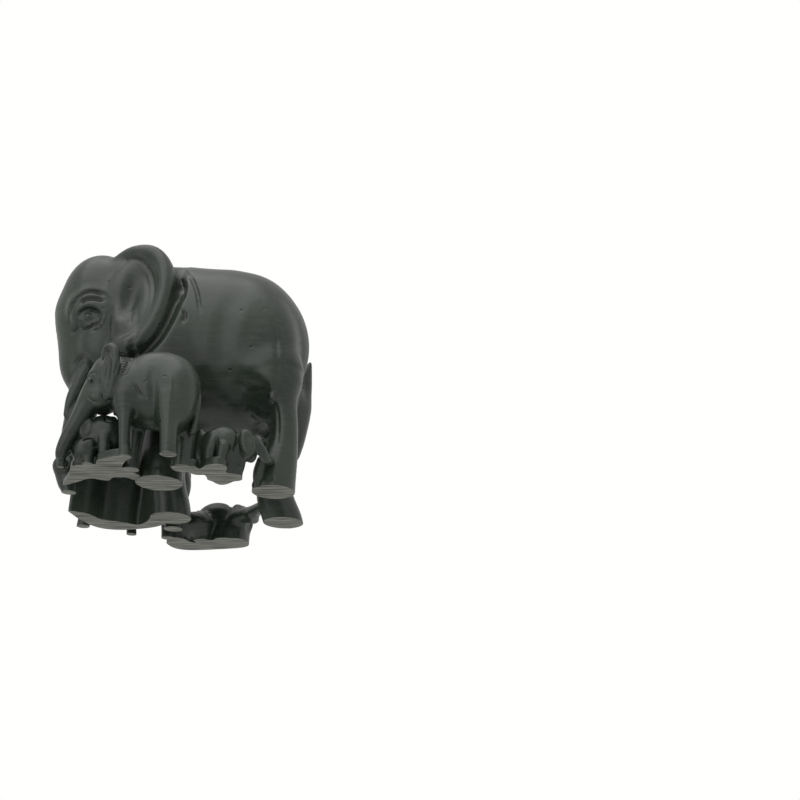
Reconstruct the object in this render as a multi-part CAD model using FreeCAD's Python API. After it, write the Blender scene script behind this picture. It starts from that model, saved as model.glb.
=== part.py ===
import FreeCAD, Part
import math
import os

# A family of elephants carved in dark wood: a mother, two half-grown young at her sides, and three calves
# round her feet.  Every figure is cut off flat at the ground, z = 0, and wood left between the feet ties
# the group together, in low strips on the near side and in solid walls on the far side.  Sizes are in mm.
# The mother faces -X and +Y is her right-hand side.

# Driving dimensions
MOTHER_HEIGHT = 114.0        # ground to the top of the back
YOUNG_HEIGHT = 47.0
CALF_HEIGHT = 20.5
LEDGE_HEIGHT = 3.2           # strips of wood left between the feet on the near side
FAR_WALL_HEIGHT = 18.0       # solid wood under the far young one
FAR_CALF_WALL_HEIGHT = 10.0  # solid wood under the far calf
BLOCK_SIZE = 4.0 * MOTHER_HEIGHT   # a block above the ground that holds the whole group
OVAL_POINTS = 8              # points on each cross-section
EGG_RINGS = 7                # cross-sections of each rounded bump
EGG_POLE = math.radians(78)  # a bump's last ring, up from its middle; it is flat beyond

# Body of an elephant, rump first, as fractions of its height: x, z, half width, half height
BODY = (
    (0.485, 0.570, 0.035, 0.050),
    (0.460, 0.565, 0.165, 0.185),
    (0.395, 0.580, 0.230, 0.275),
    (0.300, 0.622, 0.258, 0.312),
    (0.170, 0.652, 0.267, 0.338),
    (0.000, 0.662, 0.258, 0.336),
    (-0.120, 0.690, 0.233, 0.306),
    (-0.207, 0.720, 0.190, 0.267),
    (-0.276, 0.745, 0.147, 0.207),
)

# Head and ears, as fractions of the height: centre, radii
SKULL = ((-0.350, 0.0, 0.785), (0.155, 0.185, 0.225))
DOME = ((-0.360, 0.0, 0.895), (0.120, 0.140, 0.125))
CHEEKS = ((-0.330, 0.0, 0.640), (0.110, 0.140, 0.140))
EAR = ((-0.205, 0.190, 0.770), (0.115, 0.050, 0.235))
EAR_FLARE = 10.0             # degrees that an ear stands out from the head

# Limbs, as fractions of the height
LEG_RADIUS = 0.080
LEG_STATIONS = ((0.18, 0.94), (0.50, 1.10), (1.0, 1.50))   # share of the way up, thickness
HIND_HIP = (0.335, 0.125, 0.56)
FRONT_HIP = (-0.060, 0.125, 0.56)
SOLE_DEPTH = 0.04            # the legs run this far below the ground before they are cut off
TRUNK_RADII = (0.105, 0.045)
TUSK_RADII = (0.028, 0.010)
TUSK_ROOT = (-0.400, 0.075, 0.560)
TUSK_TIP = (-0.452, 0.105, 0.360)
TAIL_RADII = (0.028, 0.018)
TAIL = ((0.440, 0.0, 0.72), (0.474, 0.0, 0.60), (0.462, 0.0, 0.42), (0.445, 0.0, 0.30))
MOTHER_TRUNK = ((-0.40, 0.0, 0.70), (-0.44, 0.0, 0.58), (-0.425, -0.02, 0.46),
                (-0.40, -0.06, 0.30), (-0.38, -0.10, 0.14), (-0.36, -0.12, -0.03))
YOUNG_TRUNK = ((-0.40, 0.0, 0.70), (-0.48, 0.0, 0.58), (-0.55, 0.0, 0.45), (-0.64, 0.0, 0.30),
               (-0.74, 0.0, 0.15))
CURLED_TRUNK = ((-0.40, 0.0, 0.70), (-0.47, 0.0, 0.56), (-0.49, 0.0, 0.36), (-0.50, 0.0, 0.18),
                (-0.53, 0.0, 0.03))

# Feet as x, y in mm: hind near, hind far, front near, front far.  The near side is -Y.
MOTHER_FEET = ((44.0, -16.0), (44.0, 26.0), (0.8, -26.8), (-4.0, 18.8))
YOUNG_FEET = ((14.0, -15.0), (15.5, 3.0), (-3.0, -12.0), (-4.5, 4.0))
CALF_FEET = ((5.0, -3.5), (6.0, 3.5), (-3.0, -3.5), (-2.0, 3.5))

# Places of the smaller figures: x, y in mm, and the turn about the upright axis in degrees
NEAR_YOUNG_PLACE = (-2.0, -43.0, 0.0)
FAR_YOUNG_PLACE = (-24.0, 38.0, 17.0)
FRONT_CALF_PLACE = (-20.0, -44.0, 0.0)
HIND_CALF_PLACE = (24.0, -35.0, 195.0)
FAR_CALF_PLACE = (12.0, 55.0, 158.0)

# Strips of wood between the feet, as x, y outlines in mm
FRONT_LEDGE = ((-37.5, -24.0), (-31.5, -27.5), (-23.0, -32.0), (-13.5, -35.5), (-6.0, -28.0), (-5.0, -36.0),
               (-9.0, -43.0), (-3.5, -55.0), (-16.0, -52.0), (-27.0, -45.0), (-32.0, -34.5))
HIND_LEDGE = ((9.0, -45.0), (18.0, -45.5), (26.0, -48.0), (29.5, -43.0), (34.5, -35.0), (25.5, -24.0),
              (20.0, -37.0), (11.0, -40.0))
FAR_WALL = ((-45.5, 9.5), (-37.0, 13.5), (-34.5, 21.0), (-24.0, 29.0), (-16.0, 25.0), (-10.0, 17.0),
            (-9.0, 25.5), (-15.0, 32.0), (-28.0, 36.5), (-40.0, 30.0), (-41.0, 21.0))
FAR_CALF_WALL = ((-11.0, 30.0), (-8.5, 44.0), (-1.0, 53.0), (10.0, 53.0), (20.5, 50.5), (24.0, 59.0),
                 (14.0, 65.0), (-2.0, 66.5), (-13.0, 60.0), (-15.5, 44.0))


def vector(x, y, z):
    return FreeCAD.Vector(x, y, z)


def scaled(values, height):
    return tuple(value * height for value in values)


def part_way(start, end, share):
    """The point at a share of the way from start to end."""
    return tuple(a + (b - a) * share for a, b in zip(start, end))


def oval(centre, across, along):
    """A closed curve round a centre, from its two half axes."""
    points = []
    for step in range(OVAL_POINTS):
        angle = 2.0 * math.pi * step / OVAL_POINTS
        points.append(centre + across * math.cos(angle) + along * math.sin(angle))
    curve = Part.BSplineCurve()
    curve.interpolate(Points=points, PeriodicFlag=True)
    return Part.Wire(curve.toShape())


def limb(stations):
    """A smooth solid through cross-sections: x, y, z, half width sideways, half thickness."""
    centres = [vector(*station[:3]) for station in stations]
    wires = []
    last = len(stations) - 1
    for index, station in enumerate(stations):
        direction = centres[min(index + 1, last)] - centres[max(index - 1, 0)]
        direction.normalize()
        side = vector(0, 1, 0) - direction * direction.y
        side.normalize()
        upright = direction.cross(side)
        wires.append(oval(centres[index], side * station[3], upright * station[4]))
    return Part.makeLoft(wires, True, False)


def tapered(height, path, radii):
    """A round limb along a path that narrows evenly from its first radius to its last."""
    last = len(path) - 1
    stations = []
    for index, point in enumerate(path):
        size = (radii[0] + (radii[1] - radii[0]) * index / last) * height
        stations.append(scaled(point, height) + (size, size))
    return limb(stations)


def egg(centre, radii):
    """An ellipsoid with a small flat at its top and at its bottom."""
    stations = []
    for ring in range(EGG_RINGS):
        rise = EGG_POLE * (2.0 * ring / (EGG_RINGS - 1) - 1.0)
        level = centre[2] + radii[2] * math.sin(rise)
        girth = math.cos(rise)
        stations.append((centre[0], centre[1], level, radii[1] * girth, radii[0] * girth))
    return limb(stations)


def bump(height, centre_and_radii):
    centre, radii = centre_and_radii
    return egg(scaled(centre, height), scaled(radii, height))


def trunk_of_body(height):
    """The barrel of the body, from rump to neck."""
    stations = []
    for x, z, half_width, half_height in BODY:
        stations.append(scaled((x, 0.0, z, half_width, half_height), height))
    return limb(stations)


def leg(height, foot, hip):
    """A pillar of a leg from its foot, x and y in mm, up into the body."""
    top = scaled((hip[0], math.copysign(hip[1], foot[1]), hip[2]), height)
    ground = (foot[0], foot[1], 0.0)
    radius = LEG_RADIUS * height
    sole = (foot[0], foot[1], -SOLE_DEPTH * height, radius, radius)
    stations = [sole]
    for share, thickness in LEG_STATIONS:
        size = radius * thickness
        stations.append(part_way(ground, top, share) + (size, size))
    return limb(stations)


def ear(height, side):
    centre, radii = EAR
    shape = egg((0.0, 0.0, 0.0), scaled(radii, height))
    shape.rotate(vector(0, 0, 0), vector(0, 0, 1), -EAR_FLARE)
    shape.translate(vector(*scaled(centre, height)))
    if side < 0:
        shape = shape.mirror(vector(0, 0, 0), vector(0, 1, 0))
    return shape


def tusk(height, side):
    root = vector(TUSK_ROOT[0], TUSK_ROOT[1] * side, TUSK_ROOT[2]) * height
    tip = vector(TUSK_TIP[0], TUSK_TIP[1] * side, TUSK_TIP[2]) * height
    axis = tip - root
    return Part.makeCone(TUSK_RADII[0] * height, TUSK_RADII[1] * height, axis.Length, root, axis)


def elephant(height, feet, trunk_path, has_tusks=False):
    """One whole elephant, facing -X, with its middle over the origin."""
    pieces = [
        bump(height, SKULL),
        bump(height, DOME),
        bump(height, CHEEKS),
        tapered(height, trunk_path, TRUNK_RADII),
        tapered(height, TAIL, TAIL_RADII),
        ear(height, 1),
        ear(height, -1),
    ]
    for foot, hip in zip(feet, (HIND_HIP, HIND_HIP, FRONT_HIP, FRONT_HIP)):
        pieces.append(leg(height, foot, hip))
    if has_tusks:
        pieces.append(tusk(height, 1))
        pieces.append(tusk(height, -1))
    return trunk_of_body(height).multiFuse(pieces)


def placed(shape, place):
    """Turn a figure about the upright axis, then move it to its place."""
    x, y, turn = place
    shape.rotate(vector(0, 0, 0), vector(0, 0, 1), turn)
    shape.translate(vector(x, y, 0))
    return shape


def ledge(outline, height):
    """A strip of wood left between the feet: a smooth outline in plan, flat above and below."""
    curve = Part.BSplineCurve()
    curve.interpolate(Points=[vector(x, y, 0.0) for x, y in outline], PeriodicFlag=True)
    return Part.Face(Part.Wire(curve.toShape())).extrude(vector(0, 0, height))


def above_ground(shape):
    corner = vector(-BLOCK_SIZE / 2, -BLOCK_SIZE / 2, 0)
    return shape.common(Part.makeBox(BLOCK_SIZE, BLOCK_SIZE, BLOCK_SIZE, corner))


def largest_solid(shape):
    """The figure itself, without scraps that a cut has left."""
    return max(shape.Solids, key=lambda solid: solid.Volume)


def make_mother():
    return elephant(MOTHER_HEIGHT, MOTHER_FEET, MOTHER_TRUNK, has_tusks=True)


def make_near_young():
    """The half-grown elephant beside the mother's near foreleg, its trunk held out in front."""
    return placed(elephant(YOUNG_HEIGHT, YOUNG_FEET, YOUNG_TRUNK), NEAR_YOUNG_PLACE)


def make_far_young():
    """The half-grown elephant on the far side, turned towards the mother's trunk."""
    young = placed(elephant(YOUNG_HEIGHT, YOUNG_FEET, CURLED_TRUNK), FAR_YOUNG_PLACE)
    return young.fuse(ledge(FAR_WALL, FAR_WALL_HEIGHT))


def make_calf(place, outline, wood_height):
    calf = placed(elephant(CALF_HEIGHT, CALF_FEET, CURLED_TRUNK), place)
    return calf.fuse(ledge(outline, wood_height))


def make_front_calf():
    """The calf under the near young one's trunk."""
    return make_calf(FRONT_CALF_PLACE, FRONT_LEDGE, LEDGE_HEIGHT)


def make_hind_calf():
    """The calf that walks up to the mother's near hind leg."""
    return make_calf(HIND_CALF_PLACE, HIND_LEDGE, LEDGE_HEIGHT)


def make_far_calf():
    """The calf that walks up to the mother's far hind leg."""
    return make_calf(FAR_CALF_PLACE, FAR_CALF_WALL, FAR_CALF_WALL_HEIGHT)


def main():
    makers = (
        ("mother", make_mother),
        ("near_young", make_near_young),
        ("far_young", make_far_young),
        ("front_calf", make_front_calf),
        ("hind_calf", make_hind_calf),
        ("far_calf", make_far_calf),
    )
    figures = {}
    footprint = FreeCAD.BoundBox()
    for name, maker in makers:
        shape = above_ground(maker())
        for neighbour in figures.values():
            shape = shape.cut(neighbour)
        figures[name] = largest_solid(shape)
        footprint.add(figures[name].optimalBoundingBox(True, False))
    to_origin = vector(-footprint.Center.x, -footprint.Center.y, -footprint.ZMin)
    os.makedirs("parts", exist_ok=True)
    for name, shape in figures.items():
        shape.translate(to_origin)
        shape.exportStep("parts/" + name + ".step")
        print(name, "valid:", shape.isValid(), "volume:", round(shape.Volume))
    print("moved by", to_origin)


main()
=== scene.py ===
import math

import bmesh
import bpy
import numpy as np
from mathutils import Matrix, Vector


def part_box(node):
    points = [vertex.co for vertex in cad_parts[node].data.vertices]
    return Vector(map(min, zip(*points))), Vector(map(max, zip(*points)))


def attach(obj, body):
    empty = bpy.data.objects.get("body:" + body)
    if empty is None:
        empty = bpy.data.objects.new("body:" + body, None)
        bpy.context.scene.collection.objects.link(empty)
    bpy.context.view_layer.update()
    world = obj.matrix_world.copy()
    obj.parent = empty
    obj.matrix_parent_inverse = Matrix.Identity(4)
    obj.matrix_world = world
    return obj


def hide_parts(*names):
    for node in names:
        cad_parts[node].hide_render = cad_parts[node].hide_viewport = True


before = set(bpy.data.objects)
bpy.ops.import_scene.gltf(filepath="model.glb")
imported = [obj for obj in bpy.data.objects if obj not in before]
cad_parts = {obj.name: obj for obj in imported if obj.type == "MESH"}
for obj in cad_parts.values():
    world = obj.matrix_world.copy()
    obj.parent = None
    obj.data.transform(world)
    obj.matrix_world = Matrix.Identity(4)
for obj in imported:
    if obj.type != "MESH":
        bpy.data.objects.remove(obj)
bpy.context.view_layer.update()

# The carved family of elephants.  Each figure is modelled as a solid of signed distances (negative inside),
# built up from joined ellipsoids and tapering ropes, then engraved, meshed and cut off flat at the ground.
# Shapes are written in mm in the frame's own axes: the mother faces -X and her near side is -Y.

MOTHER_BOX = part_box("mother")
# The numbers below are in mm, for a mother of this height whose box has its middle here in plan.  The shift
# then puts the whole group where the CAD has the mother.
SCULPTED_HEIGHT = 115.97
SCULPTED_MIDDLE = (0.0, -4.05)
MM = (MOTHER_BOX[1].z - MOTHER_BOX[0].z) / SCULPTED_HEIGHT
SHIFT = Vector((
    (MOTHER_BOX[0].x + MOTHER_BOX[1].x) / 2 - SCULPTED_MIDDLE[0] * MM,
    (MOTHER_BOX[0].y + MOTHER_BOX[1].y) / 2 - SCULPTED_MIDDLE[1] * MM,
    MOTHER_BOX[0].z))
FAR_AWAY = 50.0              # distance given to points that are nowhere near a shape, in mm
SOLE_LIFT = 0.05             # how much higher each figure is cut off than the one before it, in mm
BLOCK = 8                    # grid points along a side of one block
BLOCK_SLACK = 1.35           # joined shapes give distances that may be wrong by about this much
BLOCK_MARGIN = 1.0           # and this much more, in mm, is kept round the surface
POINTS_AT_ONCE = 400000
SLAB_MARGIN = 6.0            # how far round a strip of wood distances are worked out, in mm
FAINTEST_END = 0.15          # share of its depth that a groove keeps at its very ends

# Settling, as shares of a grid step, and the smallest squared slope that is trusted
SETTLE_NUDGE = 0.25
SETTLE_LONGEST = 0.6
SETTLE_LEAST_SLOPE = 0.3


# ---------------------------------------------------------------- distances

def smooth_curve(points, steps=6):
    """Points of a smooth curve through the given points, each of any number of values."""
    points = np.asarray(points, float)
    padded = np.vstack([2 * points[0] - points[1], points, 2 * points[-1] - points[-2]])
    share = np.linspace(0, 1, steps, endpoint=False)[:, None]
    curve = []
    for a, b, c, d in zip(padded[:-3], padded[1:-2], padded[2:-1], padded[3:]):
        curve.append(b + 0.5 * share * (
            c - a + share * (2 * a - 5 * b + 4 * c - d + share * (3 * (b - c) + d - a))))
    return np.vstack(curve + [points[-1:]])


def closed_curve(points, steps=12):
    """The same for a curve that closes on itself."""
    points = np.asarray(points, float)
    wrapped = np.vstack([points[-2:], points, points[:2]])
    curve = smooth_curve(wrapped, steps)
    return curve[2 * steps:-2 * steps]


def join(a, b, blend):
    """Both shapes in one, with a fillet of about the blend where they meet."""
    share = np.clip(0.5 + 0.5 * (b - a) / blend, 0, 1)
    return b * (1 - share) + a * share - blend * share * (1 - share)


def carve(a, b, blend):
    """The first shape with the second one scooped out of it."""
    return -join(-a, b, blend)


def turned(points, centre, tilt=0.0, turn=0.0, roll=0.0):
    """Points in the axes of a shape that is tilted about Y, turned about Z and rolled about X, in degrees."""
    q = points - np.array(centre, points.dtype)
    for angle, first, second in ((-turn, 0, 1), (-tilt, 2, 0), (-roll, 1, 2)):
        if angle:
            c, s = math.cos(math.radians(angle)), math.sin(math.radians(angle))
            a, b = q[:, first].copy(), q[:, second].copy()
            q[:, first] = c * a - s * b
            q[:, second] = s * a + c * b
    return q


def ellipsoid(points, centre, radii, tilt=0.0, turn=0.0, roll=0.0):
    """A rounded lump: its centre, its three half axes and how it is turned."""
    radii = np.array(radii, points.dtype)
    scaled = turned(points, centre, tilt, turn, roll) / radii
    reach = np.linalg.norm(scaled, axis=1)
    slope = np.linalg.norm(scaled / radii, axis=1)
    return reach * (reach - 1) / np.maximum(slope, 1e-6)


def rope(points, knots, steps=5, margin=8.0):
    """A tapering round rope: knots are x, y, z and radius."""
    path = smooth_curve(knots, steps)
    low = (path[:, :3] - path[:, 3:]).min(0) - margin
    high = (path[:, :3] + path[:, 3:]).max(0) + margin
    close = ((points > low) & (points < high)).all(1)
    near = points[close]
    best = np.full(len(near), FAR_AWAY, points.dtype)
    for a, b in zip(path[:-1], path[1:]):
        along = b[:3] - a[:3]
        share = np.clip((near - a[:3]) @ along / max(along @ along, 1e-9), 0, 1)
        gap = np.linalg.norm(near - a[:3] - share[:, None] * along, axis=1)
        best = np.minimum(best, gap - a[3] - share * (b[3] - a[3]))
    distance = np.full(len(points), FAR_AWAY, points.dtype)
    distance[close] = best
    return distance


def line_gap(plane_points, line):
    """How far each point of a plane is from a line through the given points, and how far along it is."""
    best = np.full(len(plane_points), FAR_AWAY, plane_points.dtype)
    place = np.zeros(len(plane_points), plane_points.dtype)
    for index, (a, b) in enumerate(zip(line[:-1], line[1:])):
        along = b - a
        share = np.clip((plane_points - a) @ along / max(along @ along, 1e-9), 0, 1)
        gap = np.linalg.norm(plane_points - a - share[:, None] * along, axis=1)
        nearer = gap < best
        best[nearer] = gap[nearer]
        place[nearer] = (index + share[nearer]) / (len(line) - 1)
    return best, place


def engrave(points, distance, line, width, depth, band, fade=0.25):
    """A groove, or a ridge if depth is negative, along a line seen from the side, fading out over a share
    of each end.  It is cut into the part of the shape whose Y lies in the band."""
    curve = smooth_curve(line, 5).astype(points.dtype)
    side = points[:, (0, 2)]
    low, high = curve.min(0) - width, curve.max(0) + width
    close = ((side > low) & (side < high)).all(1) & (points[:, 1] > band[0]) & (points[:, 1] < band[1])
    if not close.any():
        return distance
    gap, place = line_gap(side[close], curve)
    profile = np.clip(1 - (gap / width) ** 2, 0, 1) ** 2
    ends = np.clip(np.minimum(place, 1 - place) / fade, FAINTEST_END, 1)
    distance = distance.copy()
    distance[close] += depth * profile * ends
    return distance


def slab(points, outline, top, soften=1.0):
    """A flat strip of wood: a smooth closed outline in plan, up to a height."""
    distance = np.full(len(points), FAR_AWAY, points.dtype)
    curve = closed_curve(outline).astype(points.dtype)
    low, high = curve.min(0) - SLAB_MARGIN, curve.max(0) + SLAB_MARGIN
    in_plan = (points[:, :2] > low).all(1) & (points[:, :2] < high).all(1)
    close = (points[:, 2] < top + SLAB_MARGIN) & in_plan
    plan = points[close][:, :2]
    gap, _ = line_gap(plan, np.vstack([curve, curve[:1]]))
    inside = np.zeros(len(plan), bool)
    for a, b in zip(curve, np.roll(curve, -1, 0)):
        crosses = (a[1] > plan[:, 1]) != (b[1] > plan[:, 1])
        run = (b[0] - a[0]) / (b[1] - a[1] + 1e-12)
        inside ^= crosses & (plan[:, 0] < a[0] + run * (plan[:, 1] - a[1]))
    edge = np.where(inside, -gap, gap)
    distance[close] = -join(-edge, top - points[close][:, 2], soften)
    return distance


def engrave_all(points, distance, lines, width, depth, band):
    """The same groove along each of several lines."""
    for line in lines:
        distance = engrave(points, distance, line, width, depth, band)
    return distance


def mirrored(points, middle):
    """Points as the other side of a figure sees them, across the plane y = middle."""
    other = points.copy()
    other[:, 1] = 2 * middle - other[:, 1]
    return other


# ---------------------------------------------------------------- meshing

def grid_points(cells, low, step):
    """Places in mm of the cells of a grid."""
    return (low + cells * step).astype(np.float32)


def sample(shape, low, high, step):
    """Distances on a grid, worked out only in the blocks that the surface passes through."""
    count = np.ceil((np.array(high) - low) / step / BLOCK).astype(int)
    values = np.full(count * BLOCK, FAR_AWAY, np.float32)
    blocks = np.stack(np.meshgrid(*[np.arange(n) for n in count], indexing="ij"), -1).reshape(-1, 3)
    middle = shape(grid_points(blocks * BLOCK + (BLOCK - 1) / 2, low, step))
    corner = BLOCK * step * math.sqrt(3) / 2
    reach = corner * BLOCK_SLACK + BLOCK_MARGIN
    for block in blocks[middle < -reach]:
        i, j, k = block * BLOCK
        values[i:i + BLOCK, j:j + BLOCK, k:k + BLOCK] = -FAR_AWAY
    active = blocks[np.abs(middle) <= reach]
    inner = np.stack(np.meshgrid(*[np.arange(BLOCK)] * 3, indexing="ij"), -1).reshape(-1, 3)
    cells = (active[:, None, :] * BLOCK + inner).reshape(-1, 3)
    for part in np.array_split(cells, max(1, len(cells) // POINTS_AT_ONCE)):
        values[tuple(part.T)] = shape(grid_points(part, low, step))
    return values


def surface_net(values, low, step):
    """Vertices and quads of the surface where the sampled distance is zero."""
    corners = np.array([(i, j, k) for i in (0, 1) for j in (0, 1) for k in (0, 1)])
    inside = values < 0
    size = np.array(values.shape) - 1
    total = np.zeros(size, np.int8)
    for i, j, k in corners:
        total += inside[i:i + size[0], j:j + size[1], k:k + size[2]]
    cells = np.argwhere((total > 0) & (total < 8))
    number = np.full(size, -1)
    number[tuple(cells.T)] = np.arange(len(cells))
    at = values[tuple((cells[:, None, :] + corners).transpose(2, 0, 1))]
    place = np.zeros((len(cells), 3))
    crossings = np.zeros(len(cells))
    for first in range(8):
        for axis in range(3):
            if corners[first][axis]:
                continue
            second = first + (4, 2, 1)[axis]
            a, b = at[:, first], at[:, second]
            crosses = (a < 0) != (b < 0)
            share = np.where(crosses, a / np.where(a == b, 1, a - b), 0)
            spot = corners[first] + share[:, None] * np.eye(3)[axis]
            place += np.where(crosses[:, None], spot, 0)
            crossings += crosses
    vertices = low + (cells + place / crossings[:, None]) * step
    quads = []
    for axis in range(3):
        u, v = (axis + 1) % 3, (axis + 2) % 3
        start = [slice(0, n) for n in size]
        ahead = list(start)
        ahead[axis] = slice(1, size[axis] + 1)
        change = inside[tuple(start)].astype(np.int8) - inside[tuple(ahead)]
        change[(slice(None),) * u + (0,)] = 0
        change[(slice(None),) * v + (0,)] = 0
        edges = np.argwhere(change != 0)
        step_u, step_v = np.eye(3, dtype=int)[u], np.eye(3, dtype=int)[v]
        ring = [edges - step_u - step_v, edges - step_v, edges, edges - step_u]
        quad = np.stack([number[tuple(r.T)] for r in ring], 1)
        flip = change[tuple(edges.T)] < 0
        quad[flip] = quad[flip][:, ::-1]
        quads.append(quad)
    quads = np.vstack(quads)
    return vertices, quads[(quads >= 0).all(1)]


def settle(shape, vertices, step, rounds=2):
    """Vertices moved along the slope of the distance, onto the surface itself."""
    nudge = SETTLE_NUDGE * step
    longest = SETTLE_LONGEST * step
    for _ in range(rounds):
        here = shape(vertices.astype(np.float32))
        slope = np.zeros_like(vertices)
        for axis in range(3):
            ahead = vertices.copy()
            ahead[:, axis] += nudge
            behind = vertices.copy()
            behind[:, axis] -= nudge
            rise = shape(ahead.astype(np.float32)) - shape(behind.astype(np.float32))
            slope[:, axis] = rise / (2 * nudge)
        move = here / np.maximum((slope ** 2).sum(1), SETTLE_LEAST_SLOPE)
        vertices = vertices - np.clip(move, -longest, longest)[:, None] * slope
    return vertices


def cut_at_ground(mesh, lift):
    """The mesh without what lies below the ground, closed there by flat sawn faces.  The lift, in mm, keeps
    the soles of figures that overlap from lying in one plane."""
    work = bmesh.new()
    work.from_mesh(mesh)
    everything = list(work.verts) + list(work.edges) + list(work.faces)
    cut = bmesh.ops.bisect_plane(
        work, geom=everything, plane_co=(0, 0, SHIFT.z + lift * MM), plane_no=(0, 0, -1), clear_outer=True)
    rim = [e for e in cut["geom_cut"] if isinstance(e, bmesh.types.BMEdge)]
    soles = bmesh.ops.holes_fill(work, edges=rim)["faces"]
    for face in work.faces:
        face.smooth = True
    for face in soles:
        face.smooth = False
        face.material_index = 1
        if face.normal.z > 0:
            face.normal_flip()
    for edge in rim:
        if edge.is_valid:
            edge.smooth = False
    work.to_mesh(mesh)
    work.free()


def keep_largest(vertices, quads):
    """The mesh without loose crumbs that a groove may have cut off."""
    parent = np.arange(len(vertices))
    while True:
        lowest = parent[quads].min(1)
        updated = parent.copy()
        np.minimum.at(updated, quads.ravel(), np.repeat(lowest, 4))
        updated = updated[updated]
        if (updated == parent).all():
            break
        parent = updated
    label = parent[quads[:, 0]]
    names, counts = np.unique(label, return_counts=True)
    quads = quads[label == names[counts.argmax()]]
    used, quads = np.unique(quads, return_inverse=True)
    return vertices[used], quads.reshape(-1, 4)


def sculpture(name, shape, low, high, step, lift):
    """A mesh object of a shape, with its flat soles as its second material."""
    low = np.array(low, float)
    values = sample(shape, low, high, step)
    vertices, quads = surface_net(values, low, step)
    vertices, quads = keep_largest(vertices, quads)
    vertices = settle(shape, vertices, step)
    mesh = bpy.data.meshes.new(name)
    mesh.from_pydata((vertices * MM + np.array(SHIFT)).tolist(), [], quads.tolist())
    cut_at_ground(mesh, lift)
    piece = bpy.data.objects.new(name, mesh)
    bpy.context.scene.collection.objects.link(piece)
    return piece


# ---------------------------------------------------------------- the mother

HEAD_MIDDLE = -7.5           # the head's own middle plane, in Y
BODY_MIDDLE = -2.5           # and the body's

# Bands of Y that grooves are cut in, on the near side
TRUNK_TIP_BAND = (-30, -14)
TRUNK_BAND = (-30, 10)
FACE_BAND = (-40, -14)
MOUTH_BAND = (-40, -10)
EAR_BAND = (-45, -16)
CREASE_BAND = (-45, -12)
NECK_BAND = (-45, -10)

MOTHER_LEGS = (
    ((43.0, -18.0, 52, 12.0), (45.4, -19.0, 41, 7.6), (47.6, -19.5, 28, 6.3), (47.2, -19.6, 16, 7.1),
     (45.6, -19.6, 5, 8.4), (45.1, -19.6, -4, 8.7)),
    ((41.5, 16.0, 50, 12.0), (42.2, 18.5, 37, 9.6), (40.0, 19.8, 25, 8.3), (40.6, 21.0, 12, 8.0),
     (44.5, 22.2, 1, 8.4), (45.5, 22.4, -4, 8.6)),
    ((-5.0, -19.0, 54, 12.0), (-1.5, -25.0, 34, 8.6), (0.8, -29.0, 18, 8.0), (1.8, -30.2, 6, 8.8),
     (1.9, -30.4, -4, 9.2)),
    ((-8.0, 10.0, 54, 12.0), (-7.5, 13.0, 34, 8.4), (-6.0, 14.6, 16, 7.8), (-3.6, 15.2, 4, 8.5),
     (-2.9, 15.2, -4, 8.8)),
)
MOTHER_TRUNK = ((-44.5, -7.5, 86, 12.0), (-43.6, -7.8, 70, 10.0), (-42.4, -8.5, 60, 8.8),
                (-39.2, -9.5, 50, 6.9), (-39.0, -11.5, 36, 6.4), (-39.3, -14.0, 20, 5.8),
                (-39.4, -16.5, 12, 5.4), (-38.2, -18.5, 5, 3.9), (-36.9, -19.0, 1, 2.9),
                (-36.7, -19.0, -4, 2.7))
TRUNK_TIP_CURL = ((-42.6, 9.5), (-41.5, 13.0), (-38.5, 13.2), (-37.6, 10.4), (-39.6, 8.6),
                  (-40.8, 10.4))
NEAR_TOES = (-150, -115, -80)
FAR_TOES = (150, 115, 80)
# each foot's middle in plan, its radius and its toes
MOTHER_TOES = (
    ((45.1, -19.6), 8.0, NEAR_TOES),
    ((1.9, -30.4), 8.4, NEAR_TOES),
    ((45.3, 22.4), 7.9, FAR_TOES),
    ((-2.9, 15.2), 8.1, FAR_TOES),
)
TAIL_GROOVE = ((56.5, 1.5, 84, 6.0), (57.0, 2.5, 70, 6.0), (56.0, 2.5, 50, 6.0), (54.5, 2.5, 34, 6.0))
MOTHER_TAIL = ((46.0, 1.0, 90, 2.8), (50.3, 2.0, 78, 2.4), (50.6, 2.5, 62, 2.1), (49.0, 2.5, 46, 1.9),
               (47.6, 2.5, 36, 2.7), (47.0, 2.5, 29, 1.0))
FAR_HAUNCH = ((54.2, 17, 74.8, 0.9), (52.6, 17, 69.5, 2.7), (51.2, 17, 62, 4.3), (50.0, 17, 52, 5.1),
              (48.4, 17, 42, 4.7), (46.8, 17, 32, 3.6))

BROWS = (
    ((-45.9, 76.6), (-45.1, 81.8), (-42.4, 86.0), (-38.0, 88.6), (-32.5, 87.6), (-28.4, 84.0)),
    ((-41.5, 81.6), (-38.5, 84.4), (-34.0, 84.6), (-29.4, 83.6)),
)
LIDS = (
    ((-41.8, 75.4), (-40.5, 78.8), (-37.6, 80.5), (-34.1, 79.8), (-31.2, 77.9)),
    ((-41.2, 74.4), (-38.8, 72.5), (-35.8, 72.5), (-32.5, 74.4), (-31.2, 77.9)),
)
EYE_WRINKLES = (
    ((-31.5, 79.6), (-29.7, 80.6), (-28.6, 82.6)),
    ((-30.7, 73.0), (-29.5, 76.0), (-29.2, 78.9)),
    ((-34.7, 70.3), (-31.8, 71.6), (-29.8, 74.0)),
    ((-45.2, 71.6), (-43.2, 73.0), (-41.3, 74.9)),
)
EAR_GROOVES = (
    ((-24.4, 104.9), (-19.9, 104.7), (-15.1, 101.8), (-11.3, 96.0), (-9.2, 88.7), (-8.4, 81.8),
     (-8.8, 74.0)),
    ((-16.7, 100.4), (-13.5, 94.3), (-11.5, 87.3), (-11.0, 79.0), (-12.0, 71.7)),
    ((-14.8, 79.5), (-13.8, 73.7), (-14.0, 66.9)),
    ((-17.6, 78.5), (-17.3, 73.7), (-16.8, 68.8)),
)
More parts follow.
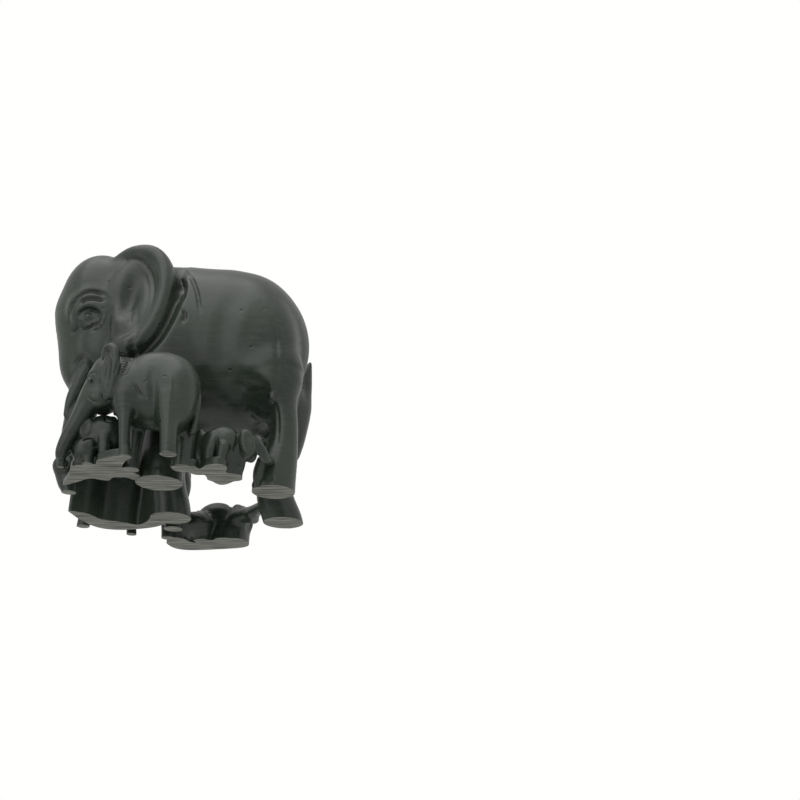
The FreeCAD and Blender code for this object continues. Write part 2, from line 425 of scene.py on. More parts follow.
NECK_FOLDS = (
    ((-0.8, 98.6), (2.2, 92.1), (4.4, 85.1), (3.6, 79.0)),
    ((2.1, 101.2), (6.1, 94.1), (9.1, 87.1), (11.1, 80.2), (12.6, 72.4)),
    ((4.5, 76.1), (6.1, 73.2), (5.0, 69.3)),
)
TRUNK_LINES = (
    ((-42.5, 54.0), (-40.2, 55.8), (-37.0, 57.2)),
    ((-43.6, 45.5), (-41.2, 49.2), (-38.0, 52.6)),
    ((-44.0, 39.0), (-41.0, 43.8), (-37.0, 48.4)),
    ((-44.0, 33.4), (-41.0, 39.0), (-37.6, 44.6)),
    ((-44.0, 27.4), (-41.2, 30.0), (-37.0, 31.2)),
    ((-44.0, 21.4), (-41.0, 23.0), (-36.0, 23.6)),
)


def mother_body(p):
    """Barrel, shoulders, rump, haunches and elbows."""
    d = ellipsoid(p, (17, -3, 71), (39, 29.5, 38.6))
    d = join(d, ellipsoid(p, (-6, -4, 73), (27, 27.5, 37.6)), 10)
    d = join(d, ellipsoid(p, (31.5, -3, 67), (18.6, 27.0, 36)), 7)
    d = join(d, ellipsoid(p, (-24, -6, 82), (18, 19, 26)), 8)
    d = join(d, ellipsoid(p, (39.3, -19, 58), (13.2, 11, 28)), 4)
    d = join(d, ellipsoid(p, (39.5, 16, 56), (13.0, 11, 27)), 4)
    d = join(d, rope(p, FAR_HAUNCH), 1.5)
    d = join(d, ellipsoid(p, (-5, -21, 58), (13, 11, 24)), 8)
    d = join(d, ellipsoid(p, (-8, 12, 58), (13, 11, 24)), 8)
    return d


def mother_head(p):
    """Skull, cheeks and trunk, with the trunk's cuts and its curled tip."""
    d = ellipsoid(p, (-36, HEAD_MIDDLE, 89), (19.6, 18.0, 24))
    d = join(d, ellipsoid(p, (-38.5, HEAD_MIDDLE, 98.0), (14.2, 15.5, 17.4)), 5)
    d = join(d, ellipsoid(p, (-33, HEAD_MIDDLE, 68), (13, 14.5, 14)), 7)
    d = join(d, rope(p, MOTHER_TRUNK), 5)
    d = join(d, ellipsoid(p, (-40.2, -20.5, 11.0), (4.0, 3.6, 4.2)), 1.5)
    d = engrave(p, d, TRUNK_TIP_CURL, 0.8, 0.7, TRUNK_TIP_BAND)
    return engrave_all(p, d, TRUNK_LINES, 1.3, 0.5, TRUNK_BAND)


def mother_face(p, d):
    """Eye, brow, cheek and tusk of the near side."""
    d = join(d, ellipsoid(p, (-37.5, -22.0, 82.5), (9, 4.6, 8)), 4)
    d = join(d, ellipsoid(p, (-31.0, -19.5, 66), (8, 4.5, 9)), 5)
    d = carve(d, ellipsoid(p, (-36.4, -26.6, 77.0), (5.0, 2.6, 3.8), tilt=-8), 1.4)
    d = join(d, ellipsoid(p, (-37.0, -23.6, 76.8), (3.0, 1.5, 2.1), tilt=-8), 0.5)
    d = join(d, ellipsoid(p, (-37.4, -24.6, 77.2), (1.3, 1.0, 1.3)), 0.3)
    d = engrave_all(p, d, BROWS, 1.6, 1.4, FACE_BAND)
    d = engrave_all(p, d, LIDS, 1.0, 0.9, FACE_BAND)
    d = engrave_all(p, d, EYE_WRINKLES, 1.0, 0.75, FACE_BAND)
    tusk = ((-37.0, -14.4, 60, 3.8), (-39.3, -15.9, 51, 3.2), (-42.0, -16.6, 42, 2.3),
            (-43.3, -17.0, 35, 0.9))
    d = join(d, rope(p, tusk), 2.2)
    mouth = ((-43.5, 55.0), (-42.2, 58.3), (-40.2, 60.3), (-37.6, 60.4), (-35.0, 57.0), (-33.5, 51.0))
    return engrave(p, d, mouth, 1.5, 0.7, MOUTH_BAND)


def ear_shape(p):
    """The near ear as a leaf hollowed in front, with a thick rim rolled over its top and back edge."""
    leaf = join(ellipsoid(p, (-13.6, -25.0, 88), (13.2, 4.6, 21.0), turn=-5),
                ellipsoid(p, (-15.5, -28.6, 71), (10.0, 4.2, 13.5), turn=-5), 4.0)
    rim = ((-36, -15.0, 103.6, 2.2), (-29.5, -18.8, 107.0, 2.8), (-21, -22.8, 109.2, 3.7),
           (-12.0, -26.4, 106.6, 3.5),
           (-6.2, -28.6, 97.4, 3.4), (-4.5, -30.2, 86, 3.4), (-5.8, -31.4, 74, 3.3), (-9.6, -32.0, 64.3, 3.1),
           (-16.5, -31.4, 59.6, 3.2), (-23, -28.0, 61.0, 2.2), (-27.5, -23.0, 65.0, 1.2))
    d = join(leaf, rope(p, rim), 4.0)
    d = join(d, ellipsoid(p, (-28.0, -18.0, 102.5), (7.5, 5.0, 5.0)), 3.0)
    d = join(d, ellipsoid(p, (-25.5, -19.5, 84), (7.5, 7.0, 22)), 6.0)
    d = carve(d, ellipsoid(p, (-14.5, -33.2, 86), (5.5, 5.5, 17), turn=-8, tilt=-4), 6.0)
    return engrave_all(p, d, EAR_GROOVES, 1.1, 0.75, EAR_BAND)


def mother_neck(p, d):
    """The deep crease behind the near ear, and the folds of skin beside it."""
    crease = ((-2.0, 107.0), (-0.4, 99.0), (0.4, 90.0), (0.2, 81.0), (-1.8, 71.5), (-6.4, 61.5),
              (-14.0, 55.2), (-22.0, 56.0))
    d = engrave(p, d, crease, 5.0, 3.4, CREASE_BAND, fade=0.2)
    d = engrave(p, d, ((-0.2, 95.0), (3.2, 88.1), (1.6, 79.2)), 2.8, 1.3, CREASE_BAND)
    return engrave_all(p, d, NECK_FOLDS, 1.4, 0.95, NECK_BAND)


def mother_flank(p, d):
    """Creases of the near haunch, thigh and elbow."""
    d = carve(d, ellipsoid(p, (34.6, -27.0, 31.5), (7.4, 6.5, 13.0), tilt=-14), 9)
    haunch = ((29.5, 93.0), (25.2, 79.2), (22.5, 67.6), (22.8, 55.0), (27.2, 45.5))
    d = engrave(p, d, haunch, 7.0, 0.55, CREASE_BAND)
    d = engrave(p, d, ((41.7, 77.0), (44.1, 64.5), (45.4, 50.5), (44.8, 40.0)), 1.6, 0.35, CREASE_BAND)
    d = join(d, ellipsoid(p, (43.8, -26.0, 38.6), (1.5, 1.5, 2.1)), 1.0)
    crack = ((44.6, 37.6), (46.2, 32.0), (46.8, 24.0), (46.9, 17.7), (46.4, 12))
    d = engrave(p, d, crack, 0.9, 0.4, CREASE_BAND)
    fold = ((29.8, 47.0), (33.4, 44.6), (38.6, 43.6), (42.4, 41.2))
    d = engrave(p, d, fold, 3.0, 0.4, CREASE_BAND)
    elbow = ((-12.0, 66.0), (-14.5, 56.0), (-12.0, 45.0))
    return engrave(p, d, elbow, 2.2, 0.8, CREASE_BAND)


def toenails(p, d, foot, radius, toes):
    """Nails in front of a foot; the toes are directions in degrees in plan."""
    for toe in toes:
        x = foot[0] + radius * math.cos(math.radians(toe))
        y = foot[1] + radius * math.sin(math.radians(toe))
        d = join(d, ellipsoid(p, (x, y, 1.6), (1.1, 1.1, 1.9)), 0.6)
    return d


def mother(p):
    """The large elephant; the far side of her head and body mirrors the near side."""
    d = mother_body(p)
    for knots in MOTHER_LEGS:
        d = join(d, rope(p, knots), 5)
    d = join(d, mother_head(p), 6)
    far_head = mirrored(p, HEAD_MIDDLE)
    far_body = mirrored(p, BODY_MIDDLE)
    for points in (p, far_head):
        d = mother_face(points, d)
        d = mother_neck(points, d)
        d = join(d, ear_shape(points), 2.8)
        d = carve(d, ellipsoid(points, (-19.0, -31.5, 85), (2.8, 4.6, 10), tilt=5), 4.5)
    for points in (p, far_body):
        d = mother_flank(points, d)
    d = carve(d, rope(p, TAIL_GROOVE), 3)
    d = join(d, rope(p, MOTHER_TAIL), 1.2)
    for foot, radius, toes in MOTHER_TOES:
        d = toenails(p, d, foot, radius, toes)
    return d


# ---------------------------------------------------------------- the half-grown young

YOUNG_MIDDLE = -51.5         # the near young one's own middle plane, in Y
YOUNG_BAND = (-80, -54)      # grooves on its near side
COLLAR_BAND = (-90, -20)     # and all the way round its neck
HELD_OUT_TRUNK = ((-19.0, -52, 33, 5.4), (-21.7, -52, 27, 4.6), (-23.9, -52, 21.5, 3.7),
                  (-26.1, -52, 16.2, 3.1), (-28.4, -52, 10.7, 2.8), (-30.0, -52, 5.8, 2.3),
                  (-30.6, -52, 3.4, 1.6))
HANGING_TRUNK = ((-19.5, -52, 32, 4.8), (-22.6, -52, 26, 3.8), (-23.6, -52, 20, 3.3), (-24.0, -51.5, 13, 3.0),
                 (-24.4, -51, 6, 2.8), (-25.0, -51, -3, 2.8))
YOUNG_LEGS = (
    ((-6.6, -57.5, 24, 4.6), (-5.8, -59, 14, 2.4), (-5.1, -59.3, 6, 2.0), (-4.3, -59.4, 1.4, 2.2),
     (-4.2, -59.4, -1, 2.2)),
    ((10, -58.5, 22, 5.2), (10.9, -60.3, 12, 3.5), (11.7, -61.6, 4, 3.0), (12.2, -62.0, -1, 3.1)),
    ((14.3, -47, 16, 4.2), (14.3, -47, 6, 3.7), (14.3, -47, -1, 4.2)),
    ((-5.5, -45.5, 18, 4.0), (-5.5, -45.5, 6, 2.9), (-5.5, -45.5, -1, 3.2)),
)


def young_side(p, d):
    """Ear, eye, shoulder and haunch of the near side."""
    d = join(d, ellipsoid(p, (11.0, -56.5, 24), (7.5, 6.5, 13)), 2.5)
    d = join(d, ellipsoid(p, (-7.0, -56.5, 27), (5.5, 5.5, 11)), 2.5)
    d = join(d, ellipsoid(p, (-17.8, -54.5, 25.6), (4.4, 3.8, 4.4)), 2.5)
    d = engrave(p, d, ((2.6, 37.0), (3.6, 29.0), (5.2, 20.5), (6.4, 13.0)), 2.6, 0.6, YOUNG_BAND)
    d = engrave(p, d, ((-3.4, 28.8), (-1.6, 25.5), (0.2, 23.0)), 0.8, 0.45, YOUNG_BAND)
    d = engrave(p, d, ((9.6, 33.3), (10.9, 26.3), (11.3, 15.8), (11.9, 4.5)), 1.4, -0.3, YOUNG_BAND)
    leaf = ellipsoid(p, (-13.4, -59.5, 34.0), (3.9, 2.0, 10.6), turn=-14)
    rim = ((-16.8, -58.3, 41.5, 1.3), (-15.5, -59.3, 44.2, 1.7), (-12.9, -60.4, 43.4, 1.8),
           (-11.5, -61.0, 38, 1.7), (-11.4, -60.8, 31, 1.5), (-12.0, -59.6, 25.5, 1.3),
           (-14.0, -58.6, 23.7, 1.1))
    ear = join(leaf, rope(p, rim), 0.8)
    ear = carve(ear, ellipsoid(p, (-14.2, -62.3, 33.0), (1.7, 1.8, 7.5)), 0.8)
    d = join(d, ear, 0.5)
    d = carve(d, ellipsoid(p, (-21.3, -59.4, 31.6), (1.9, 1.5, 1.7), tilt=-20), 0.5)
    d = join(d, ellipsoid(p, (-21.3, -58.0, 31.5), (1.0, 0.8, 0.9)), 0.2)
    brow = ((-23.8, 31.4), (-22.8, 34.0), (-20.8, 35.0), (-18.8, 33.4))
    d = engrave(p, d, brow, 0.55, 0.45, YOUNG_BAND)
    return engrave(p, d, ((-21.6, 25.4), (-19.4, 23.3), (-16.6, 22.6)), 0.6, 0.5, YOUNG_BAND)


def young_collar(p, d):
    """A band of short cuts round the neck."""
    cuts, top, spacing = 9, 43.2, 1.35
    for step in range(cuts):
        z = top - spacing * step
        line = ((-10.6 + 0.25 * step, z), (-7.9, z - 0.5), (-6.0 - 0.18 * step, z + 0.5))
        d = engrave(p, d, line, 0.55, 0.4, COLLAR_BAND, fade=0.1)
    for x in (-10.4, -8.4, -6.3):
        line = ((x, 45.0), (x + 0.2, 38.0), (x - 0.8, 31.0))
        d = engrave(p, d, line, 0.6, 0.35, COLLAR_BAND, fade=0.1)
    return d


def young(p, trunk):
    """A half-grown elephant facing -X, with the given trunk."""
    d = ellipsoid(p, (3.2, YOUNG_MIDDLE, 30), (15.8, 11.2, 15.9))
    d = join(d, ellipsoid(p, (10.5, YOUNG_MIDDLE, 27), (8.3, 10.5, 15.5)), 3)
    d = join(d, ellipsoid(p, (-11, YOUNG_MIDDLE, 33), (9, 8.0, 10.8)), 3)
    for knots in YOUNG_LEGS:
        d = join(d, rope(p, knots), 2)
    d = join(d, ellipsoid(p, (-16.5, YOUNG_MIDDLE, 35.2), (6.8, 7.4, 9.6)), 2)
    d = join(d, rope(p, trunk), 2.0)
    d = young_side(p, d)
    d = young_side(mirrored(p, YOUNG_MIDDLE), d)
    d = young_collar(p, d)
    tail = ((17.2, YOUNG_MIDDLE, 34, 1.2), (19.0, YOUNG_MIDDLE, 27, 1.1), (18.6, YOUNG_MIDDLE, 18, 1.0),
            (17.9, YOUNG_MIDDLE, 13, 1.3))
    return join(d, rope(p, tail), 0.5)


def near_young(p):
    """The young one beside the mother's near foreleg, joined to her by wood left between them."""
    d = young(p, HELD_OUT_TRUNK)
    return join(d, ellipsoid(p, (2.0, -38.0, 34), (10.0, 10.0, 10.0)), 3)


def moved(points, place, turn, middle):
    """Points for a figure written at the middle, mirrored in Y and set down at a place, turned about Z."""
    q = turned(points, (place[0], place[1], 0), turn=turn)
    q[:, 1] = -q[:, 1]
    return q + np.array((middle[0], middle[1], 0), points.dtype)


FAR_WALL = ((-44.6, 5.6), (-37.5, 9.0), (-33.7, 17.0), (-26.5, 21.3), (-21.0, 26.0), (-15.0, 21.0),
            (-10.5, 13.0), (-7.0, 22.0), (-13.3, 29.0), (-26.9, 33.2), (-36.0, 31.6), (-40.4, 26.0),
            (-43.6, 15.0))


def far_young(p):
    """The young one on the far side, standing on a solid wall of wood."""
    q = moved(p, (-20.5, 33.5), 12.0, (0.0, YOUNG_MIDDLE))
    d = young(q, HANGING_TRUNK)
    d = join(d, slab(p, FAR_WALL, 21.0, 3.0), 3.0)
    return join(d, ellipsoid(p, (-8.0, 28.0, 19.0), (9.5, 7.0, 13.0)), 3.0)


# ---------------------------------------------------------------- the calves

FRONT_CALF_MIDDLE = -47.8
HIND_CALF_MIDDLE = -40.0
FRONT_CALF_BAND = (-70, -49)
FRONT_CALF_TAIL_BAND = (-70, -40)
HIND_CALF_BAND = (-60, -40)
FRONT_LEDGE = ((-36.6, -27.6), (-30.4, -30.9), (-23.5, -35.4), (-17.3, -33.0), (-12.2, -39.0), (-5.0, -31.5),
               (-3.9, -39.2), (-8.2, -46.0), (-5.2, -54.5), (-1.8, -58.4), (-6.0, -60.2), (-14.8, -56.1),
               (-17.5, -51.0), (-26.3, -49.1), (-30.9, -38.0))
HIND_LEDGE = ((10.0, -48.5), (18.4, -49.1), (20.7, -46.0), (23.6, -49.9), (28.5, -51.5), (31.0, -48.5),
              (30.2, -41.7), (35.2, -38.4), (28.6, -29.0), (24.0, -29.2), (20.0, -42.6), (11.5, -43.8))
FAR_CALF_WALL = ((-11.0, 46.0), (-4.5, 47.5), (-0.4, 54.6), (10.4, 50.0), (21.1, 47.4), (25.0, 55.0),
                 (22.5, 62.0), (13.2, 65.2), (-3.3, 67.6), (-11.0, 64.5), (-13.5, 55.0))


FRONT_CALF_LEGS = (
    ((-15.2, -50.4, 11, 3.0), (-14.3, -51.8, 4, 2.2), (-14.0, -52, -1, 2.4)),
    ((-19.5, -50.2, 10, 2.6), (-20.0, -51.2, 3, 1.9), (-20.0, -51.2, -1, 2.0)),
)
FRONT_CALF_TRUNK = ((-24.5, -49.5, 9.5, 2.2), (-28.0, -49.5, 7.2, 1.8), (-30.5, -49.0, 4.5, 1.5),
                    (-31.2, -48.0, 1.0, 1.4))
HIND_CALF_LEGS = (
    ((23.5, -44.5, 8, 2.8), (23.4, -45.2, 3, 2.2), (23.5, -45, -1, 2.5)),
    ((28.6, -45.3, 9, 2.6), (28.2, -46.4, 3, 2.0), (28.2, -46.5, -1, 2.3)),
    ((32.8, -38.0, 9, 3.2), (32.2, -35.6, 3, 2.8), (32, -35, -1, 3.1)),
    ((24.2, -35.5, 9, 3.0), (24.2, -34.5, -1, 2.8)),
)
HIND_CALF_TRUNK = ((39.5, -39, 13, 2.8), (42.3, -37.5, 10.5, 2.0), (43.6, -34.0, 8.5, 1.8),
                   (44.6, -29, 9.5, 1.7))


def front_calf_figure(p):
    """The calf that feeds with its head down, facing -X."""
    d = ellipsoid(p, (-17, FRONT_CALF_MIDDLE, 14.2), (6.2, 5.3, 6.9))
    d = join(d, ellipsoid(p, (-13.5, FRONT_CALF_MIDDLE, 13.5), (3.6, 4.8, 6.6)), 1.5)
    for points in (p, mirrored(p, FRONT_CALF_MIDDLE)):
        for knots in FRONT_CALF_LEGS:
            d = join(d, rope(points, knots), 1)
    d = join(d, ellipsoid(p, (-22.3, -49.5, 6.2), (4.7, 4.6, 5.6)), 0.8)
    for points in (p, mirrored(p, FRONT_CALF_MIDDLE)):
        ear = ellipsoid(points, (-22.4, -51.6, 14.6), (3.1, 1.8, 4.4), tilt=12)
        ear = carve(ear, ellipsoid(points, (-21.8, -54.0, 13.6), (1.6, 1.2, 2.8), tilt=12), 1.2)
        d = join(d, ear, 0.4)
        eye = ((-24.9, 1.2), (-24.3, 3.0), (-22.7, 3.1), (-22.1, 1.4))
        d = engrave(points, d, eye, 0.5, 0.5, FRONT_CALF_BAND)
        curl = ((-22.4, 7.6), (-21.5, 9.4), (-19.2, 9.6), (-18.0, 7.6), (-19.0, 6.4))
        d = engrave(points, d, curl, 0.6, 0.7, FRONT_CALF_BAND)
    d = join(d, rope(p, FRONT_CALF_TRUNK), 0.8)
    d = join(d, ellipsoid(p, (-13.2, FRONT_CALF_MIDDLE - 1.0, 19.2), (1.1, 1.2, 1.1)), 0.5)
    return engrave(p, d, ((-12.8, 16.8), (-15.2, 17.2), (-16.3, 20.5)), 0.5, 0.5, FRONT_CALF_TAIL_BAND)


def front_calf(p):
    """The feeding calf on its strip of wood."""
    d = join(front_calf_figure(p), slab(p, FRONT_LEDGE, 3.4), 1.0)
    d = join(d, ellipsoid(p, (-17.5, -42.0, 7.0), (8.0, 4.6, 9.0)), 2.0)
    return join(d, ellipsoid(p, (-12.0, -39.0, 8.0), (5.5, 5.5, 8.5)), 2.0)


def hind_calf_figure(p):
    """The calf that reaches for the big leg with its trunk, facing +X."""
    d = ellipsoid(p, (27.5, HIND_CALF_MIDDLE, 12.2), (7.6, 6.3, 7.6))
    d = join(d, ellipsoid(p, (23.8, HIND_CALF_MIDDLE - 2.5, 9.5), (4.3, 4.6, 7.0)), 1.5)
    d = join(d, ellipsoid(p, (36.4, HIND_CALF_MIDDLE + 0.5, 12.2), (4.4, 4.6, 5.4)), 1.5)
    for knots in HIND_CALF_LEGS:
        d = join(d, rope(p, knots), 1)
    for points in (p, mirrored(p, HIND_CALF_MIDDLE)):
        ear = ellipsoid(points, (37.2, -43.6, 11.8), (3.0, 1.7, 5.7), tilt=-14)
        ear = carve(ear, ellipsoid(points, (38.4, -45.6, 11.6), (1.4, 1.0, 4.0), tilt=-14), 1.2)
        d = join(d, ear, 0.4)
        d = carve(d, ellipsoid(points, (41.0, -43.2, 13.0), (0.8, 1.0, 0.8)), 0.3)
        d = engrave(points, d, ((31.8, 19.0), (33.4, 13.5), (32.2, 7.5)), 0.7, 0.6, HIND_CALF_BAND)
        d = engrave(points, d, ((26.2, 14.0), (26.4, 9.0), (26.0, 4.5)), 0.9, 0.7, HIND_CALF_BAND)
    d = join(d, rope(p, HIND_CALF_TRUNK), 0.8)
    return join(d, ellipsoid(p, (20.2, HIND_CALF_MIDDLE - 0.5, 15.4), (1.3, 1.3, 1.6)), 0.5)


def hind_calf(p):
    """The reaching calf on its strip of wood."""
    d = join(hind_calf_figure(p), slab(p, HIND_LEDGE, 3.4), 1.0)
    d = join(d, ellipsoid(p, (28.0, -37.6, 6.0), (8.0, 4.0, 8.0)), 2.0)
    d = join(d, rope(p, ((41.5, -30.5, 9.2, 2.0), (40.2, -27.0, 5.6, 2.4), (40.4, -24.0, 1.0, 2.6))), 1.0)
    return join(d, ellipsoid(p, (19.2, -42.0, 7.0), (3.8, 3.6, 11.0)), 1.5)


def far_calf(p):
    """The calf that walks to the far hind leg, longer than the near one and on solid wood."""
    middle, stretch = 29.0, 1.3
    q = moved(p, (11.0, 55.0), -12.0, (middle, HIND_CALF_MIDDLE))
    q[:, 0] = middle + (q[:, 0] - middle) / stretch
    d = join(hind_calf_figure(q), slab(p, FAR_CALF_WALL, 11.0, 3.0), 2.5)
    d = join(d, ellipsoid(p, (-9.5, 37.0, 12.0), (6.0, 13.0, 8.5)), 3.0)
    d = join(d, ellipsoid(p, (0.5, 50.0, 8.0), (8.0, 7.0, 5.6)), 3.0)
    return join(d, rope(p, ((20.0, 50.0, 11, 4.0), (27.0, 43.0, 11, 3.2), (32.5, 34.0, 10.6, 2.7),
                            (37.0, 27.0, 10, 2.6))), 2.0)


# ---------------------------------------------------------------- materials

WOOD_DARK = (0.011, 0.017, 0.013)
WOOD_LIGHT = (0.024, 0.034, 0.024)
WOOD_GRAIN = (0.040, 0.048, 0.034)
# Painted highlight: a paler colour laid on convex edges, standing in for the light they catch.
PAINTED_EDGE_HIGHLIGHT = (0.062, 0.072, 0.052)
# Painted shade: near-black laid into grooves and creases, standing in for the shade that falls there.
PAINTED_CREASE_SHADE = (0.003, 0.004, 0.003)
WOOD_PORE = (0.002, 0.002, 0.002)
SAWN_DARK = (0.035, 0.038, 0.031)
SAWN_PALE = (0.215, 0.220, 0.185)
SAWN_FIBRE = (0.080, 0.084, 0.070)
SAWN_PATCH = (0.070, 0.075, 0.064)
FLOOR_COLOURS = ((0.80, 0.80, 0.79), (0.86, 0.86, 0.85))

def node(tree, kind, inputs=None, **settings):
    """A new node; an input is a number or another node's output."""
    made = tree.nodes.new(kind)
    for name, value in settings.items():
        setattr(made, name, value)
    for name, value in (inputs or {}).items():
        if isinstance(value, bpy.types.NodeSocket):
            tree.links.new(value, made.inputs[name])
        else:
            made.inputs[name].default_value = value
    return made


def grain_space(tree, stretch):
    """Object coordinates, squeezed so that patterns run along X like the grain of the block."""
    place = node(tree, "ShaderNodeTexCoord")
    return node(tree, "ShaderNodeMapping", {"Vector": place.outputs["Object"], "Scale": stretch}).outputs[0]


def mixed(tree, share, first, second):
    """One colour going over to another."""
    made = node(tree, "ShaderNodeMix", {0: share}, data_type="RGBA")
    for socket, value in ((made.inputs[6], first), (made.inputs[7], second)):
        if isinstance(value, bpy.types.NodeSocket):
            tree.links.new(value, socket)
        else:
            socket.default_value = (*value, 1)
    return made.outputs[2]


def spread(tree, value, low, high, to_low=0.0, to_high=1.0):
    """A value's range from low to high, stretched over a new range."""
    made = node(tree, "ShaderNodeMapRange", {"Value": value, "From Min": low, "From Max": high,
                                             "To Min": to_low, "To Max": to_high})
    return made.outputs[0]


def bump(tree, height, distance, strength, below=None):
    """Fine relief, on top of any relief below it."""
    inputs = {"Height": height, "Distance": distance, "Strength": strength}
    if below is not None:
        inputs["Normal"] = below
    return node(tree, "ShaderNodeBump", inputs).outputs[0]


def polished_wood():
    """Dark wood, carved by hand and polished: fine grain along X, tool marks and pores, with a painted
    highlight on convex edges and painted shade in grooves and creases.
    """
    material = bpy.data.materials.new("dark_wood")
    material.use_nodes = True
    tree = material.node_tree
    shader = tree.nodes["Principled BSDF"]
    grain = node(tree, "ShaderNodeTexNoise", {"Vector": grain_space(tree, (45, 700, 700)), "Scale": 1.0,
                                              "Detail": 6.0, "Roughness": 0.6}).outputs[0]
    patches = node(tree, "ShaderNodeTexNoise", {"Vector": grain_space(tree, (28, 45, 45)), "Scale": 1.0,
                                                "Detail": 3.0}).outputs[0]
    tool = node(tree, "ShaderNodeTexNoise", {"Vector": grain_space(tree, (190, 190, 120)), "Scale": 1.0,
                                             "Detail": 2.0}).outputs[0]
    pores = node(tree, "ShaderNodeTexVoronoi", {"Vector": grain_space(tree, (90, 130, 130)), "Scale": 1.0,
                                                "Randomness": 1.0}).outputs["Distance"]
    pits = spread(tree, pores, 0.05, 0.10)
    edges = node(tree, "ShaderNodeNewGeometry").outputs["Pointiness"]
    color = mixed(tree, spread(tree, patches, 0.35, 0.65), WOOD_DARK, WOOD_LIGHT)
    color = mixed(tree, spread(tree, grain, 0.45, 0.75, 0.0, 0.5), color, WOOD_GRAIN)
    # Painted highlight: convex edges, found by pointiness, go over to a paler colour.
    color = mixed(tree, spread(tree, edges, 0.51, 0.62, 0.0, 0.5), color, PAINTED_EDGE_HIGHLIGHT)
    # Painted shade: hollows, found by pointiness, go over to near-black.
    color = mixed(tree, spread(tree, edges, 0.495, 0.44, 0.0, 0.9), color, PAINTED_CREASE_SHADE)
    color = mixed(tree, pits, WOOD_PORE, color)
    tree.links.new(color, shader.inputs["Base Color"])
    rough = spread(tree, grain, 0.3, 0.8, 0.27, 0.44)
    tree.links.new(rough, shader.inputs["Roughness"])
    shader.inputs["IOR"].default_value = 1.5
    surface = bump(tree, tool, 0.0009, 0.22)
    surface = bump(tree, grain, 0.00012, 0.35, surface)
    surface = bump(tree, pits, 0.0003, 0.6, surface)
    tree.links.new(surface, shader.inputs["Normal"])
    return material


def sawn_wood():
    """The bare sawn undersides: paler and dull, with the saw's lines along X."""
    material = bpy.data.materials.new("sawn_wood")
    material.use_nodes = True
    tree = material.node_tree
    shader = tree.nodes["Principled BSDF"]
    saw = grain_space(tree, (60, 1000, 60))
    lines = node(tree, "ShaderNodeTexNoise", {"Vector": saw, "Scale": 1.0, "Detail": 1.5}).outputs[0]
    fibres = node(tree, "ShaderNodeTexNoise", {"Vector": grain_space(tree, (220, 2200, 900)), "Scale": 1.0,
                                               "Detail": 5.0}).outputs[0]
    patches = node(tree, "ShaderNodeTexNoise", {"Vector": grain_space(tree, (90, 190, 90)), "Scale": 1.0,
                                                "Detail": 2.0}).outputs[0]
    color = mixed(tree, spread(tree, lines, 0.38, 0.58), SAWN_DARK, SAWN_PALE)
    color = mixed(tree, spread(tree, fibres, 0.4, 0.7, 0.0, 0.3), color, SAWN_FIBRE)
    color = mixed(tree, spread(tree, patches, 0.35, 0.7, 0.0, 0.3), color, SAWN_PATCH)
    tree.links.new(color, shader.inputs["Base Color"])
    tree.links.new(spread(tree, fibres, 0.3, 0.7, 0.5, 0.75), shader.inputs["Roughness"])
    surface = bump(tree, lines, 0.0004, 0.5)
    surface = bump(tree, fibres, 0.0001, 0.4, surface)
    tree.links.new(surface, shader.inputs["Normal"])
    return material


# ---------------------------------------------------------------- the studio

FLOOR_HALF = 2.0             # metres
FLOOR_DROP = 0.0001          # the floor lies this far under the soles, in metres

# The camera, set out in mm from the middle of the mother's near hind foot
CAMERA_FOOT = (45.12, -19.67, 0.0)
CAMERA_LENS = 45.0
CAMERA_SENSOR = 36.0
CAMERA_TILT = 24.0           # degrees that it looks up
CAMERA_BACK = 400.0
CAMERA_ASIDE = 50.8
CAMERA_ABOVE = 36.8

def make_floor():
    """A pale floor seen only from above: a low camera looks through it, and light reaches the undersides."""
    mesh = bpy.data.meshes.new("floor")
    corners = [(x * FLOOR_HALF, y * FLOOR_HALF, 0) for x, y in ((-1, -1), (1, -1), (1, 1), (-1, 1))]
    mesh.from_pydata(corners, [], [(0, 1, 2, 3)])
    floor = bpy.data.objects.new("floor", mesh)
    floor.location.z = MOTHER_BOX[0].z - FLOOR_DROP
    bpy.context.scene.collection.objects.link(floor)
    material = bpy.data.materials.new("floor")
    material.use_nodes = True
    tree = material.node_tree
    shader = tree.nodes["Principled BSDF"]
    shader.inputs["Roughness"].default_value = 0.8
    patches = node(tree, "ShaderNodeTexNoise", {"Scale": 6.0, "Detail": 3.0}).outputs[0]
    pale = mixed(tree, patches, *FLOOR_COLOURS)
    tree.links.new(pale, shader.inputs["Base Color"])
    clear = node(tree, "ShaderNodeBsdfTransparent")
    below = node(tree, "ShaderNodeNewGeometry").outputs["Backfacing"]
    seen = node(tree, "ShaderNodeLightPath").outputs["Is Camera Ray"]
    open_to_light = node(tree, "ShaderNodeMath", {0: 1.0, 1: seen}, operation="SUBTRACT").outputs[0]
    hidden = node(tree, "ShaderNodeMath", {0: below, 1: open_to_light}, operation="MAXIMUM").outputs[0]
    both = node(tree, "ShaderNodeMixShader", {0: hidden, 1: shader.outputs[0], 2: clear.outputs[0]})
    tree.links.new(both.outputs[0], tree.nodes["Material Output"].inputs["Surface"])
    mesh.materials.append(material)


def make_camera():
    """The camera sits low on the near side and looks up under the group."""
    tilt = math.radians(CAMERA_TILT)
    camera = bpy.data.cameras.new("camera")
    camera.lens = CAMERA_LENS
    camera.sensor_width = CAMERA_SENSOR
    holder = bpy.data.objects.new("camera", camera)
    foot = Vector(CAMERA_FOOT) * MM + SHIFT
    ahead = Vector((0, math.cos(tilt), math.sin(tilt)))
    above = Vector((0, -math.sin(tilt), math.cos(tilt)))
    aside = Vector((1, 0, 0))
    holder.location = foot + MM * (CAMERA_ASIDE * aside + CAMERA_ABOVE * above - CAMERA_BACK * ahead)
    holder.rotation_euler = (math.radians(90.0) + tilt, 0, 0)
    bpy.context.scene.collection.objects.link(holder)
    bpy.context.scene.camera = holder


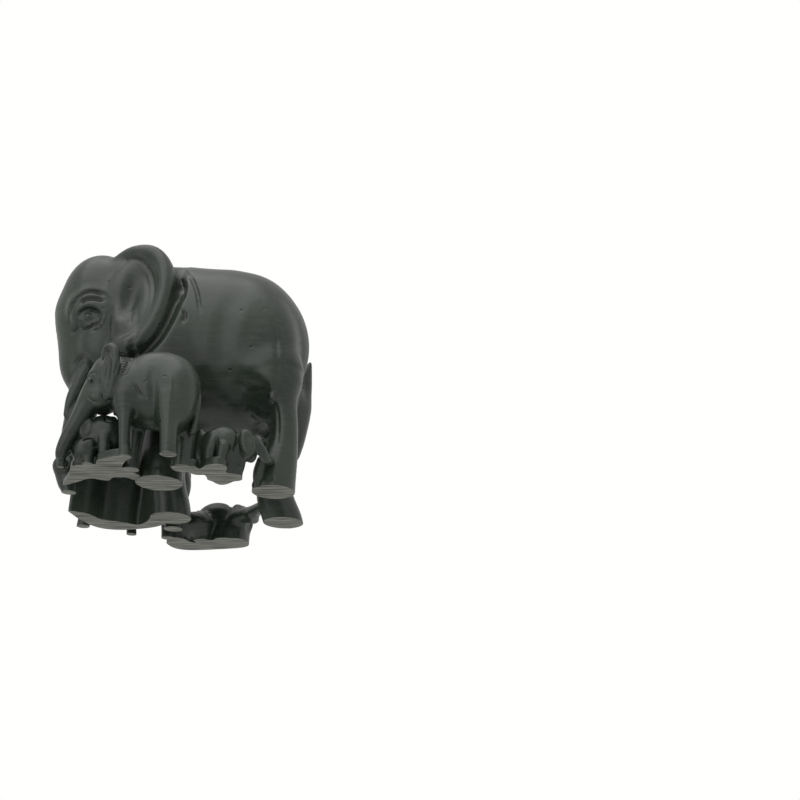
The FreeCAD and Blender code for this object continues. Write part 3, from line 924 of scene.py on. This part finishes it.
def area_light(name, place, target, size, power):
    """A square lamp that faces a target; places and size in metres, power in watts."""
    light = bpy.data.lights.new(name, "AREA")
    light.size = size
    light.energy = power
    holder = bpy.data.objects.new(name, light)
    holder.location = place
    holder.rotation_euler = (Vector(target) - Vector(place)).to_track_quat("-Z", "Y").to_euler()
    bpy.context.scene.collection.objects.link(holder)


def make_light():
    """A white tent of light, with soft lamps above and in front."""
    world = bpy.data.worlds.new("studio")
    world.use_nodes = True
    tree = world.node_tree
    background = tree.nodes["Background"]
    seen = node(tree, "ShaderNodeLightPath").outputs["Is Camera Ray"]
    tree.links.new(spread(tree, seen, 0.0, 1.0, 0.70, 1.0), background.inputs["Strength"])
    background.inputs["Color"].default_value = (1, 1, 0.985, 1)
    bpy.context.scene.world = world
    bpy.context.scene.view_settings.view_transform = "Standard"
    area_light("lamp_above", (-0.15, -0.30, 0.80), (0, 0, 0.05), 0.90, 3.0)
    area_light("lamp_front", (-0.45, -0.85, 0.25), (0, 0, 0.05), 0.80, 1.5)


# ---------------------------------------------------------------- the group

FIGURES = (
    # piece, CAD node, shape, lowest corner, highest corner, grid step, all in mm
    ("mother_figure", "mother", mother, (-64, -46, -3), (62, 42, 120), 0.75),
    ("near_young_figure", "near_young", near_young, (-36, -68, -3), (24, -24, 51), 0.4),
    ("far_young_figure", "far_young", far_young, (-50, 2, -3), (8, 56, 52), 0.5),
    ("front_calf_figure", "front_calf", front_calf, (-40, -64, -3), (0, -26, 24), 0.3),
    ("hind_calf_figure", "hind_calf", hind_calf, (5, -56, -3), (50, -22, 24), 0.3),
    ("far_calf_figure", "far_calf", far_calf, (-21, 20, -3), (44, 72, 26), 0.4),
)


def make_figures():
    """Each figure in place of its CAD node, in polished wood with sawn soles."""
    coarser = 1.0
    finishes = (polished_wood(), sawn_wood())
    for index, (name, replaced, shape, low, high, step) in enumerate(FIGURES):
        piece = sculpture(name, shape, low, high, step * coarser, index * SOLE_LIFT)
        for finish in finishes:
            piece.data.materials.append(finish)
        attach(piece, "root")
        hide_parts(replaced)


make_figures()
make_floor()
make_camera()
make_light()
